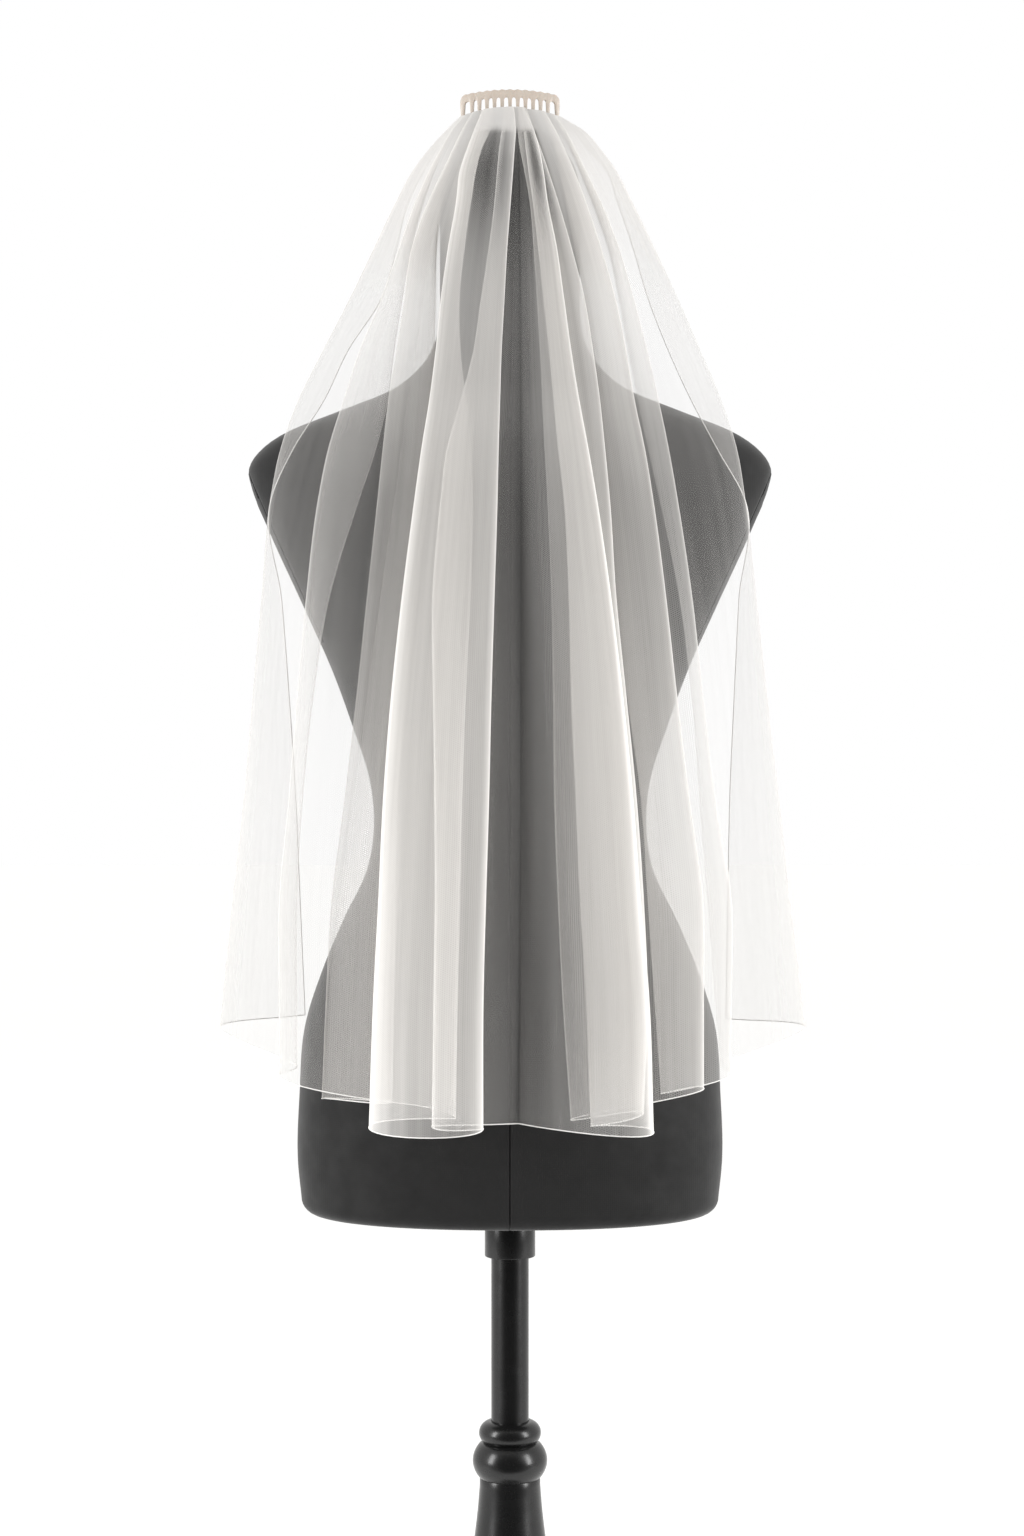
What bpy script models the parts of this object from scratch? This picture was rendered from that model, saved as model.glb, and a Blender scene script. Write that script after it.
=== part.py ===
"""A one-tier bridal veil of soft tulle, gathered on a comb and worn by a limbless dress form on a turned stand.

Metres, +Z up. The origin is the centre of the base's underside, and the form's back faces -Y.

The folds of a veil are judged from behind, so the tables give them as they look to an eye behind the form, in
millimetres on the upright plane through the pole. sight() carries such a place along its line of sight to
its real depth.
"""

import math

import bmesh
import bpy
import numpy as np

MM = 0.001
GAP = 0.3 * MM

EYE_HEIGHT = 1090 * MM
EYE_DISTANCE = 2.3

# The dress form's body: rows of height, half width, depth of the back and depth of the front, in mm.
BODY_SECTIONS = (
    # height, half width, back, front
    (749, 166.4, 115, 104),
    (777, 169.2, 118, 107),
    (829, 168.0, 118, 108),
    (886, 163.2, 113, 106),
    (931, 148.8, 105, 102),
    (970, 132.4, 97, 98),
    (1010, 113.6, 88, 93),
    (1046, 108.4, 83, 90),
    (1082, 112.0, 84, 92),
    (1122, 124.8, 89, 100),
    (1170, 142.4, 95, 112),
    (1218, 164.0, 99, 118),
    (1283, 193.6, 99, 106),
    (1316, 206.8, 95, 88),
    (1327, 208.8, 92, 80),
    (1341, 201.6, 86, 71),
    (1357, 180.0, 79, 64),
    (1374, 137.6, 71, 60),
    (1390, 97.6, 64, 57.5),
    (1410, 72.0, 59, 56.5),
    (1434, 58.8, 56.5, 56),
    (1452, 56.0, 56, 56),
)
BODY_ROWS = 28
BODY_COLUMNS = 36
BODY_SQUARENESS = 2.25
BODY_BOTTOM = 737 * MM
BOTTOM_ROUNDING = 12 * MM
NECK_RADIUS = 56 * MM
NECK_TOP = 1549 * MM
DOME_ROWS = 6
BUST_HEIGHT = 1205 * MM
BUST_RISE = 15 * MM
BUST_APART = 72 * MM
BUST_REACH = 52 * MM

# The armhole plates: the outermost 5 mm of each shoulder, along the slope of the body's side.
PLATE_LEAN = math.radians(24.2)
PLATE_EDGE = (203.6 * MM, 1316 * MM)
PLATE_REACH = (1190 * MM, 1400 * MM)

# The stand.
COLLAR_RADIUS = 20.2 * MM
COLLAR_BOTTOM = 700 * MM
POLE_RADIUS = 15 * MM
POLE_BOTTOM = 480 * MM
RING_HEIGHT = 559 * MM
RING_RADIUS = 9.5 * MM
RING_OUTER = 24.8 * MM
BALL_HEIGHT = 539 * MM
BALL_RADIUS = 29.8 * MM
BALL_HALF_HEIGHT = 15.5 * MM
COLUMN_NECK = (24.2 * MM, 522 * MM)
COLUMN_PROFILE = (
    # radius, height, below the ball
    (24.2, 518),
    (25.6, 500),
    (28.4, 476),
    (33.0, 436),
    (38.5, 384),
    (43.0, 326),
    (45.5, 268),
    (44.0, 216),
    (37.0, 172),
    (30.0, 142),
    (27.5, 122),
)
FOOT_RING = (36.0 * MM, 104 * MM, 13 * MM)
FOOT_PROFILE = (
    # radius, height, below the foot ring
    (31.0, 88),
    (34.0, 66),
    (44.0, 50),
    (60.0, 42),
    (64.0, 34.3),
)
BASE_PROFILE = (
    # radius, height, from the middle of the base to its rim
    (66, 34),
    (110, 32),
    (142, 29),
    (150, 26),
    (156, 25),
    (166, 22),
    (172, 15),
    (172, 7),
    (168, 2),
    (164, 0),
)
TURNED_STEPS = 32

# The comb: thirteen teeth on a spine that is curved to the head. Its teeth curl forward over the form's top.
COMB_WIDTH = 82 * MM
COMB_BEND = 88 * MM
COMB_TOP = 1632.3 * MM
COMB_DROOP = 3 * MM
COMB_THICKNESS = 2.2 * MM
TEETH = 13
TOOTH_PITCH = 6.2 * MM
TOOTH_LENGTH = 34.2 * MM
TOOTH_WIDTH = 3.2 * MM
END_TOOTH_WIDTH = 4.0 * MM
TIP_WIDTH = 1.5 * MM
SPINE_DEPTH = 6.2 * MM
SCALLOP = 0.7 * MM
SHOULDER_ROUNDING = 5.0 * MM
TOOTH_STRAIGHT = 10.2 * MM
TOOTH_CURL = 18 * MM

# The veil. Heights are as seen, in mm.
CLOTH = 1.0 * MM
COMB_LINE = 1619.5
COMB_LINE_DROOP = 8.4
DOME, NAPE, SHOULDER, ARMPIT, WAIST = 1577, 1525, 1350, 1241, 1078
FOLDS = (
    # Each row is a line down the cloth, from its left free edge to its right one: where it is across the view at
    # the comb, dome, nape, shoulder, armpit, waist and hem; how high its hem looks; how many layers it lies
    # outside the innermost one; how roundly the cloth turns back there, towards the eye (-), away from it (+) or
    # not at all (0); and how far it swings forward round the form's side.
    # name, comb, dome, nape, shoulder, armpit, waist, hem, hem height, layer, turn, swing
    ("left free edge", -41, -66, -94, -176, -184, -172, -164, 893, 0.0, 0, 1),
    ("left outline", -40, -72, -101, -183, -198, -212, -233, 883, 0.0, -2, 0),
    ("left side pleat, inner", -35, -57, -75, -106, -136, -164, -170, 852, 0.0, -1, 0),
    ("left side pleat, outer", -36, -61, -84, -144, -163, -176, -185, 845, 1.0, -1, 0),
    ("left back pleat, inner", -28, -45, -58, -62, -75, -90, -94, 824, 1.3, -1, 0),
    ("left back pleat, outer", -30, -50, -72, -102, -114, -131, -150, 826, 2.3, -1, 0),
    ("left flute, inner", -15, -25, -34, -31, -31, -38, -43, 810, 2.6, -1, 0),
    ("left flute, outer", -22, -37, -47, -70, -85, -101, -113, 803, 3.8, -1.6, 0),
    ("left flute, centre side", 3, 3, -1, -9, -12, -16, -21, 802, 5.2, 1.6, 0),
    ("left flute, heart", -5, -10, -16, -50, -58, -60, -62, 804, 4.6, 1, 0),
    ("centre panel", 5, 7, 8, 9, 9, 9, 7, 806, 4.0, 0, 0),
    ("right flute, outer", 14, 26, 34, 62, 79, 98, 115, 799, 4.8, 1.6, 0),
    ("right flute, heart", 9, 18, 25, 37, 46, 52, 65, 804, 3.6, 1, 0),
    ("right flute, inner", 13, 24, 33, 50, 66, 84, 107, 815, 3.0, 1, 0),
    ("right flute, centre side", 5, 10, 18, 28, 33, 35, 49, 809, 2.2, 1, 0),
    ("right back pleat, outer", 28, 48, 68, 107, 121, 142, 155, 834, 2.2, 1, 0),
    ("right back pleat, inner", 24, 38, 48, 76, 84, 104, 121, 830, 1.2, 1, 0),
    ("right side pleat, outer", 36, 57, 82, 127, 144, 163, 177, 846, 1.1, 1, 0),
    ("right side pleat, inner", 33, 52, 73, 110, 131, 150, 168, 853, 0.3, 1, 0),
    ("right outline", 40, 79, 107, 181, 196, 214, 237, 883, 0.0, 2, 0),
    ("right free edge", 41, 73, 100, 174, 183, 176, 173, 890, 0.0, 0, 1),
)
DRAPE = (
    # How deep the innermost layer lies behind the pole at each height, at the centre and at the outline, how far
    # a free edge swings forward, and the space that one layer takes, in mm.
    # height, centre, outline, swing, layer
    (COMB_LINE, -3.2, -9.0, 1.0, 2.0),
    (1600, 40, 0, 4.6, 2.0),
    (1585, 53.5, 6, 5, 2.1),
    (1560, 57, 12, 4, 2.2),
    (1525, 56, 18, 5, 2.4),
    (1450, 56, 34, 5, 2.8),
    (1400, 66, 44, 4, 3.4),
    (1350, 89, 58, 3, 4.2),
    (1323, 96.8, 65, 3, 4.6),
    (1300, 100, 62, 4, 5.0),
    (1241, 104, 46, 8, 6.5),
    (1078, 119, 20, 42, 11),
    (950, 135, 14, 52, 14),
    (800, 150, 10, 56, 17),
)
FOLD_CELLS = (3, 4, 3, 4, 3, 4, 3, 5, 3, 4, 5, 3, 3, 3, 5, 3, 4, 3, 4, 3)
TURN_ROUNDNESS = 0.35
VEIL_ROWS = 21
TOP_CROWDING = 1.6
EDGE_RADIUS = 0.6 * MM

COLOURS = {
    # base colour, roughness, metallic, alpha
    "tulle": ((0.86, 0.84, 0.80), 0.8, 0.0, 0.35),
    "edging": ((0.90, 0.88, 0.85), 0.6, 0.0, 1.0),
    "comb_plastic": ((0.70, 0.62, 0.54), 0.4, 0.0, 1.0),
    "form_cloth": ((0.025, 0.025, 0.026), 0.7, 0.0, 1.0),
    "stand_lacquer": ((0.012, 0.012, 0.013), 0.35, 0.0, 1.0),
}


def clear_scene():
    for obj in list(bpy.data.objects):
        bpy.data.objects.remove(obj, do_unlink=True)


def new_collection(name):
    collection = bpy.data.collections.new(name)
    bpy.context.scene.collection.children.link(collection)
    return collection


def material(name):
    colour, roughness, metallic, alpha = COLOURS[name]
    made = bpy.data.materials.new(name)
    made.use_nodes = True
    shader = made.node_tree.nodes["Principled BSDF"]
    shader.inputs["Base Color"].default_value = (*colour, 1)
    shader.inputs["Roughness"].default_value = roughness
    shader.inputs["Metallic"].default_value = metallic
    shader.inputs["Alpha"].default_value = alpha
    return made


def add_mesh(name, collection, points, faces, finish=None):
    mesh = bpy.data.meshes.new(name)
    mesh.from_pydata([tuple(map(float, p)) for p in points], [], faces)
    mesh.update()
    mesh.shade_smooth()
    obj = bpy.data.objects.new(name, mesh)
    collection.objects.link(obj)
    if finish:
        mesh.materials.append(finish)
    return obj


def smooth(places, values, at):
    """A smooth curve through (places, values), read at `at`. The places increase."""
    places, values, at = (np.asarray(a, float) for a in (places, values, at))
    step = np.diff(places)
    slope = np.diff(values) / step
    tangent = np.empty_like(values)
    tangent[0], tangent[-1] = slope[0], slope[-1]
    tangent[1:-1] = (slope[:-1] * step[1:] + slope[1:] * step[:-1]) / (step[:-1] + step[1:])
    i = np.clip(np.searchsorted(places, at) - 1, 0, len(step) - 1)
    t = np.clip((at - places[i]) / step[i], 0, 1)
    rise = step[i] * (tangent[i] * t * (1 - t) ** 2 - tangent[i + 1] * t * t * (1 - t))
    return values[i] + (values[i + 1] - values[i]) * t * t * (3 - 2 * t) + rise


def ring_faces(rows, columns):
    """Quads between rings of points, with one face across each end."""
    faces = []
    for row in range(rows - 1):
        for column in range(columns):
            beside = (column + 1) % columns
            lower, upper = row * columns, (row + 1) * columns
            faces.append((lower + column, lower + beside, upper + beside, upper + column))
    faces.append(tuple(reversed(range(columns))))
    faces.append(tuple(range((rows - 1) * columns, rows * columns)))
    return faces


def body_size(height):
    """Half width, back and front of the form at a height between its bottom and its neck."""
    table = np.array(BODY_SECTIONS) * MM
    return [smooth(table[:, 0], table[:, column], height) for column in (1, 2, 3)]


def body_ring(height, inset=0.0):
    """One section of the form: a rounded oval, with a soft bust on its front."""
    half_width, back, front = body_size(max(height, BODY_SECTIONS[0][0] * MM))
    points = []
    for column in range(BODY_COLUMNS):
        angle = 2 * math.pi * column / BODY_COLUMNS
        across, deep = math.cos(angle), math.sin(angle)
        depth = front if deep > 0 else back
        x = (half_width - inset) * math.copysign(abs(across) ** (2 / BODY_SQUARENESS), across)
        y = (depth - inset) * math.copysign(abs(deep) ** (2 / BODY_SQUARENESS), deep)
        if deep > 0:
            offset = math.hypot((abs(x) - BUST_APART) / BUST_REACH, (height - BUST_HEIGHT) / BUST_REACH)
            y += BUST_RISE * deep * math.exp(-(offset**2))
        points.append((x, y, height))
    return points


def neck_ring(height):
    radius = math.sqrt(NECK_RADIUS**2 - max(0.0, height - NECK_TOP) ** 2)
    turns = (2 * math.pi * column / BODY_COLUMNS for column in range(BODY_COLUMNS))
    return [(radius * math.cos(a), radius * math.sin(a), height) for a in turns]


def form_shape(name, collection, finish):
    rings = []
    for step in range(4):
        angle = math.pi / 2 * step / 4
        inset = BOTTOM_ROUNDING * (1 - math.sin(angle))
        rings.append(body_ring(BODY_BOTTOM + BOTTOM_ROUNDING * (1 - math.cos(angle)), inset))
    low, high = BODY_SECTIONS[0][0] * MM, BODY_SECTIONS[-1][0] * MM
    rings += [body_ring(height) for height in np.linspace(low, high, BODY_ROWS)]
    rings += [neck_ring(height) for height in np.linspace(high, NECK_TOP, 4)[1:]]
    for step in range(1, DOME_ROWS):
        rings.append(neck_ring(NECK_TOP + NECK_RADIUS * math.sin(math.pi / 2 * step / DOME_ROWS)))
    points = [point for ring in rings for point in ring]
    faces = ring_faces(len(rings), BODY_COLUMNS)[:-1]
    points.append((0, 0, NECK_TOP + NECK_RADIUS))
    last = (len(rings) - 1) * BODY_COLUMNS
    faces += [(last + c, last + (c + 1) % BODY_COLUMNS, len(points) - 1) for c in range(BODY_COLUMNS)]
    return add_mesh(name, collection, points, faces, finish)


def plate_slab(name, collection, side, inner, outer):
    """A slab along the slope of the body's side, from `inner` to `outer` metres outside the plate's inner face."""
    low, high = PLATE_REACH[0] + inner, PLATE_REACH[1]
    points = []
    for offset in (inner, outer):
        for height in (low, high):
            x = PLATE_EDGE[0] + offset / math.cos(PLATE_LEAN) + (height - PLATE_EDGE[1]) * math.tan(PLATE_LEAN)
            points += [(side * x, -0.2, height), (side * x, 0.2, height)]
    faces = [(0, 1, 3, 2), (4, 6, 7, 5), (0, 4, 5, 1), (2, 3, 7, 6), (0, 2, 6, 4), (1, 5, 7, 3)]
    slab = add_mesh(name, collection, points, faces)
    shape = bmesh.new()
    shape.from_mesh(slab.data)
    bmesh.ops.recalc_face_normals(shape, faces=shape.faces)
    shape.to_mesh(slab.data)
    shape.free()
    slab.hide_render = True
    slab.display_type = "WIRE"
    return slab


def boolean(obj, cutter, operation):
    cut = obj.modifiers.new(cutter.name, "BOOLEAN")
    cut.operation = operation
    cut.object = cutter


def build_form(parts, cutters, finish):
    body = form_shape("form_body", parts, finish)
    for side, name in ((-1, "left"), (1, "right")):
        outside = plate_slab(f"beyond_{name}_armhole", cutters, side, 0.0, 0.2)
        boolean(body, outside, "DIFFERENCE")
        plate = form_shape(f"arm_plate_{name}", parts, finish)
        boolean(plate, plate_slab(f"{name}_armhole", cutters, side, GAP, 0.2), "INTERSECT")


def turned(name, collection, profile, finish):
    """A turned piece, from its profile as (radius, height), listed down its outside."""
    mesh = bpy.data.meshes.new(name)
    edges = [(i, i + 1) for i in range(len(profile) - 1)]
    mesh.from_pydata([(radius, 0, height) for radius, height in profile], edges, [])
    obj = bpy.data.objects.new(name, mesh)
    collection.objects.link(obj)
    mesh.materials.append(finish)
    turn = obj.modifiers.new("turn", "SCREW")
    turn.steps = turn.render_steps = TURNED_STEPS
    turn.use_merge_vertices = True
    turn.merge_threshold = 0.00005
    turn.use_smooth_shade = True
    return obj


def arc(centre, radii, start, end, steps):
    """Points along an oval arc in a profile, by angle in degrees from straight out, upwards."""
    angles = np.radians(np.linspace(start, end, steps + 1))
    return [(centre[0] + radii[0] * math.cos(a), centre[1] + radii[1] * math.sin(a)) for a in angles]


def build_stand(parts, finish):
    collar_top = BODY_BOTTOM - GAP
    bore = POLE_RADIUS + GAP
    collar = [(bore, collar_top), (COLLAR_RADIUS - MM, collar_top), (COLLAR_RADIUS, collar_top - MM)]
    collar += [(COLLAR_RADIUS, COLLAR_BOTTOM + MM), (COLLAR_RADIUS - MM, COLLAR_BOTTOM)]
    collar += [(bore, COLLAR_BOTTOM), (bore, collar_top)]
    turned("stand_collar", parts, collar, finish)
    pole = [(0, collar_top), (POLE_RADIUS, collar_top), (POLE_RADIUS, POLE_BOTTOM), (0, POLE_BOTTOM)]
    turned("stand_pole", parts, pole, finish)

    ring_centre = (RING_OUTER - RING_RADIUS, RING_HEIGHT)
    column = [(0, POLE_BOTTOM - GAP), (bore, POLE_BOTTOM - GAP), (bore, RING_HEIGHT + RING_RADIUS)]
    column += arc(ring_centre, (RING_RADIUS, RING_RADIUS), 80, -50, 6)
    ball = (BALL_RADIUS, BALL_HALF_HEIGHT)
    column += [p for p in arc((0, BALL_HEIGHT), ball, 48, -56, 9) if p[0] > COLUMN_NECK[0] * 0.7]
    column += [COLUMN_NECK]
    heights = np.array(COLUMN_PROFILE)[::-1] * MM
    for height in np.linspace(heights[-1, 1], heights[0, 1], 14):
        column.append((float(smooth(heights[:, 1], heights[:, 0], height)), height))
    ring_radius, ring_height, ring_thick = FOOT_RING
    column += arc((ring_radius - ring_thick, ring_height), (ring_thick, ring_thick), 60, -60, 6)
    column += [(radius * MM, height * MM) for radius, height in FOOT_PROFILE]
    column += [(0, column[-1][1])]
    turned("stand_column", parts, column, finish)
    base = [(0, BASE_PROFILE[0][1] * MM)] + [(radius * MM, height * MM) for radius, height in BASE_PROFILE]
    turned("stand_base", parts, base + [(0, 0)], finish)


def comb_place(along, down):
    """Where a point of the flat comb goes once it is bent: along its spine and down its teeth."""
    turn = along / COMB_BEND
    x = COMB_BEND * math.sin(turn)
    back = COMB_BEND * (1 - math.cos(turn))
    top = COMB_TOP - COMB_DROOP * (2 * along / COMB_WIDTH) ** 2
    bent = max(0.0, down - TOOTH_STRAIGHT)
    curl = bent / TOOTH_CURL
    forward = TOOTH_CURL * (1 - math.cos(curl))
    drop = down - bent + TOOTH_CURL * math.sin(curl)
    return (x, back + forward, top - drop)


def tooth_half_width(tooth, share):
    """Half the width of a tooth at a share of its length, from root to tip."""
    root = END_TOOTH_WIDTH if tooth in (0, TEETH - 1) else TOOTH_WIDTH
    return (root + (TIP_WIDTH - root) * share**0.8) / 2


def build_comb(parts, finish):
    """A flat outline of cells between tooth centres, bent point by point and thickened."""
    points, faces, index = [], [], {}

    def point(along, down):
        key = (round(along * 1e6), round(down * 1e6))
        if key not in index:
            index[key] = len(points)
            points.append(comb_place(along, down))
        return index[key]

    def spine_top(along):
        share = abs(along) / (COMB_WIDTH / 2)
        corner = max(0.0, abs(along) - (COMB_WIDTH / 2 - SHOULDER_ROUNDING)) / SHOULDER_ROUNDING
        wave = SCALLOP * (0.5 - 0.5 * math.cos(2 * math.pi * along / TOOTH_PITCH)) * (1 - share**8)
        return wave + SHOULDER_ROUNDING * (1 - math.sqrt(max(0.0, 1 - corner**2)))

    centres = [(tooth - (TEETH - 1) / 2) * TOOTH_PITCH for tooth in range(TEETH)]
    end = COMB_WIDTH / 2 - END_TOOTH_WIDTH / 2
    centres[0], centres[-1] = -end, end
    root = SPINE_DEPTH + TOOTH_WIDTH * 0.7
    for tooth in range(TEETH - 1):
        left, right = centres[tooth], centres[tooth + 1]
        inner_left = left + tooth_half_width(tooth, 0)
        inner_right = right - tooth_half_width(tooth + 1, 0)
        middle, reach = (inner_left + inner_right) / 2, (inner_right - inner_left) / 2
        outline = [point(a, spine_top(a)) for a in np.linspace(left, right, 5)]
        outline += [point(right, root)]
        for angle in np.linspace(0, math.pi, 7):
            rise = (root - SPINE_DEPTH) * math.sin(angle)
            outline.append(point(middle + reach * math.cos(angle), root - rise))
        outline += [point(left, root)]
        faces.append(outline)
    for tooth, centre in ((0, centres[0]), (TEETH - 1, centres[-1])):
        side = -1 if tooth == 0 else 1
        edge = centre + side * tooth_half_width(tooth, 0)
        outline = [point(centre, spine_top(centre))]
        outline += [point(a, spine_top(a)) for a in np.linspace(centre, edge, 5)[1:]]
        outline += [point(edge, root), point(centre, root)]
        faces.append(outline if side > 0 else outline[::-1])
    steps = 6
    for tooth, centre in enumerate(centres):
        for step in range(steps):
            upper, lower = step / steps, (step + 1) / steps
            wide, narrow = tooth_half_width(tooth, upper), tooth_half_width(tooth, lower)
            above, below = (root + (TOOTH_LENGTH - root) * share for share in (upper, lower))
            row = [point(centre - wide, above), point(centre, above), point(centre + wide, above)]
            row = row if step == 0 else [row[0], row[2]]
            faces.append(row + [point(centre + narrow, below), point(centre - narrow, below)])
    comb = add_mesh("comb", parts, points, faces, finish)
    thick = comb.modifiers.new("thickness", "SOLIDIFY")
    thick.thickness = COMB_THICKNESS
    thick.offset = 0
    return comb


def sight(across, height, depth):
    """The real place of a point that looks to be at (across, height), in mm, and lies `depth` mm behind the pole."""
    nearer = 1 - depth * MM / EYE_DISTANCE
    rise = (height * MM - EYE_HEIGHT) * nearer
    return np.array((across * MM * nearer, -depth * MM, EYE_HEIGHT + rise))


def drape_at(height, column):
    table = np.array(DRAPE)[::-1]
    return smooth(table[:, 0], table[:, column], height)


def fold_line(fold, share):
    """Where a fold's line looks to be, across and up, at a share of the way from the comb to its hem."""
    at_comb, at_hem, hem_height = fold[1], fold[7], fold[8]
    comb_height = COMB_LINE - COMB_LINE_DROOP * (at_comb / 41) ** 2
    height = comb_height + (hem_height - comb_height) * share
    levels = (hem_height, WAIST, ARMPIT, SHOULDER, NAPE, DOME, comb_height)
    places = (at_hem, *fold[6:1:-1], at_comb)
    return float(smooth(levels, places, height)), height


def cloth_row(share):
    """The cloth's path across at one share of its length, as points from the left free edge to the right one."""
    lines = [fold_line(fold, share) for fold in FOLDS]
    reach = {-1: -lines[1][0], 1: lines[-2][0]}
    knots, turns = [], []
    for fold, (across, height) in zip(FOLDS, lines):
        layer, turn, swing = fold[9:12]
        centre, outline, forward, space = (float(drape_at(height, column)) for column in (1, 2, 3, 4))
        out = 1.0 if swing else abs(across) / reach[1 if across > 0 else -1]
        depth = outline + (centre - outline) * math.sqrt(1 - out * out) + layer * space - swing * forward
        knots.append(np.array((across, height, depth)))
        turns.append(turn * TURN_ROUNDNESS * space)
    row = [knots[0]]
    for left, cells in enumerate(FOLD_CELLS):
        start, end = knots[left], knots[left + 1]
        leave, arrive = (turned_by(turns[i], start, end, knots, i) for i in (left, left + 1))
        for t in np.linspace(0, 1, cells + 1)[1:]:
            bend = leave * t * (1 - t) ** 2 - arrive * t * t * (1 - t)
            row.append(start + (end - start) * t * t * (3 - 2 * t) + bend)
    return [sight(*point) for point in row]


def turned_by(turn, start, end, knots, place):
    """The cloth's direction where it passes a fold line: straight behind or before the eye where it turns back."""
    if turn:
        strength = math.sqrt(6 * abs(turn) * abs(end[0] - start[0]))
        return np.array((0.0, 0.0, -math.copysign(strength, turn)))
    if 0 < place < len(knots) - 1:
        return (knots[place + 1] - knots[place - 1]) / 2
    return (end - start) * (1, 1, 0.5)


def build_veil(parts, tulle, edging):
    rows = [cloth_row((k / VEIL_ROWS) ** TOP_CROWDING) for k in range(VEIL_ROWS + 1)]
    columns = len(rows[0])
    points = [point for row in rows for point in row]
    faces = []
    for row in range(VEIL_ROWS):
        for column in range(columns - 1):
            a = row * columns + column
            faces.append((a, a + columns, a + columns + 1, a + 1))
    panel = add_mesh("veil_panel", parts, points, faces, tulle)
    thick = panel.modifiers.new("thickness", "SOLIDIFY")
    thick.thickness = CLOTH
    thick.offset = 0

    rows = np.array(rows)
    clear = GAP + EDGE_RADIUS
    left, hem, right = rows[1:, 0], rows[-1], rows[1:, -1]

    def beyond(edge, inside):
        along = np.gradient(edge, axis=0)
        along /= np.linalg.norm(along, axis=1, keepdims=True)
        out = edge - inside
        out -= along * np.sum(out * along, axis=1, keepdims=True)
        return edge + out / np.linalg.norm(out, axis=1, keepdims=True) * clear

    down_left = beyond(left, rows[1:, 1])
    along_hem = beyond(hem, rows[-2])
    up_right = beyond(right, rows[1:, -2])[::-1]
    corners = [along_hem[[0]] + down_left[[-1]] - hem[[0]], along_hem[[-1]] + up_right[[0]] - hem[[-1]]]
    path = np.concatenate([down_left[:-1], corners[0], along_hem[1:-1], corners[1], up_right[1:]])
    curve = bpy.data.curves.new("veil_edge", "CURVE")
    curve.dimensions = "3D"
    line = curve.splines.new("POLY")
    line.points.add(len(path) - 1)
    for spot, place in zip(line.points, path):
        spot.co = (*place, 1)
    curve.bevel_depth = EDGE_RADIUS
    curve.bevel_resolution = 1
    curve.use_fill_caps = True
    edge = bpy.data.objects.new("veil_edge", curve)
    curve.materials.append(edging)
    parts.objects.link(edge)


def main():
    clear_scene()
    parts = new_collection("bridal_veil_on_form")
    cutters = new_collection("cutters")
    form_cloth, lacquer = material("form_cloth"), material("stand_lacquer")
    build_form(parts, cutters, form_cloth)
    build_stand(parts, lacquer)
    build_comb(parts, material("comb_plastic"))
    build_veil(parts, material("tulle"), material("edging"))


main()
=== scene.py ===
# %% [markdown]
# # A bridal veil on a dress form
#
# A one-tier veil of soft ivory tulle is gathered on a small comb and worn by a black dress form on a turned stand.
# We see it from behind. Tulle is a net, so each layer hides only a little, and the folds show because many layers
# lie over one another. So this scene builds the cloth as one folded sheet and lets the layers add up.

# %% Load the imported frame
import math

import bmesh
import bpy
import numpy as np
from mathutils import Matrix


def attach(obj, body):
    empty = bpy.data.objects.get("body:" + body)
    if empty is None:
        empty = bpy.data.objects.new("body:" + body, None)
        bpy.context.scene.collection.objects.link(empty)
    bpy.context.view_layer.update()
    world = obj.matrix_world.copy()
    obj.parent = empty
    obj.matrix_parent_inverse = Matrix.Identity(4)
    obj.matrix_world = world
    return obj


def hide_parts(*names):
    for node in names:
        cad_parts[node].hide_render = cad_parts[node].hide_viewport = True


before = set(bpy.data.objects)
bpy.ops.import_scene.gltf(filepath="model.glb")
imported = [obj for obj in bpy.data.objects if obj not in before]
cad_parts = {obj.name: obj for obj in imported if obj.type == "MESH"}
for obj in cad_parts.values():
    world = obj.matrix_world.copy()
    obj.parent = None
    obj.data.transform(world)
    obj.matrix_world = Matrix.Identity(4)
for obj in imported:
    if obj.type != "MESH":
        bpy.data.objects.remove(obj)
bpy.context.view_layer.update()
MM = 0.001

# %% [markdown]
# ## The camera
#
# The eye stands 2.3 m behind the form at waist height and looks level. The lens is long enough that one unit of
# picture is 0.8 mm on the upright plane through the pole.

# %% Camera
EYE_HEIGHT = 1.0904
EYE_DISTANCE = 2.3
PICTURE_HEIGHT = 1.2288
lens = bpy.data.cameras.new("camera")
lens.sensor_width = 36
lens.lens = 36 * EYE_DISTANCE / PICTURE_HEIGHT
camera = bpy.data.objects.new("camera", lens)
camera.location = (0.0016, -EYE_DISTANCE, EYE_HEIGHT)
camera.rotation_euler = (math.pi / 2, 0, 0)
bpy.context.scene.collection.objects.link(camera)
bpy.context.scene.camera = camera
print("lens", round(lens.lens, 2), "mm")

# %% [markdown]
# ## Finishes
#
# A finish is a small graph of nodes. These helpers add a node, a line of arithmetic, a noise and a bump, so that
# each finish below reads as a short recipe.


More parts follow.
